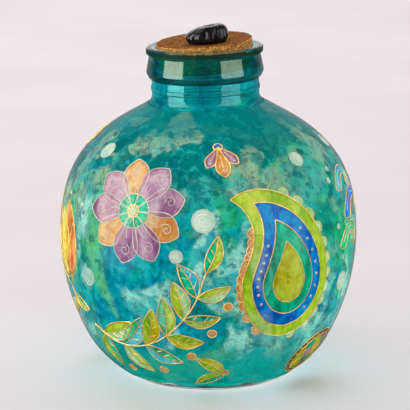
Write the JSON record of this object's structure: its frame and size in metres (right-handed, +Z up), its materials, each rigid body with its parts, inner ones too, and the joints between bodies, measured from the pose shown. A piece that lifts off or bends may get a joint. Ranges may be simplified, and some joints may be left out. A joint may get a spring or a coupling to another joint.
{
  "type": "genie bottle",
  "caption": "Round painted glass jar with a short flared neck and a cork stopper that has a fluted stone knob.",
  "frame": {"origin": "centre of the foot, on the surface that the jar stands on", "axes": "+Z up through the neck, -Y towards the front, +X to the right seen from the front"},
  "size_m": [0.2503, 0.2503, 0.2981],
  "materials": {
    "painted_glass": "glossy turquoise glass with translucent paint",
    "cork": "sanded agglomerated cork",
    "stone": "polished black stone, opaque",
    "glue": "clear set adhesive"
  },
  "bodies": {
    "jar": {"bottle": "painted_glass"},
    "stopper": {"cork_stopper": "cork", "knob_glue": "glue", "stone_knob": "stone"}
  },
  "joints": [
    {"name": "stopper_lift", "type": "slide", "parent": "jar", "child": "stopper", "axis": [-0.0262, 0, 0.9997], "range_m": [0, 0.06]}
  ]
}
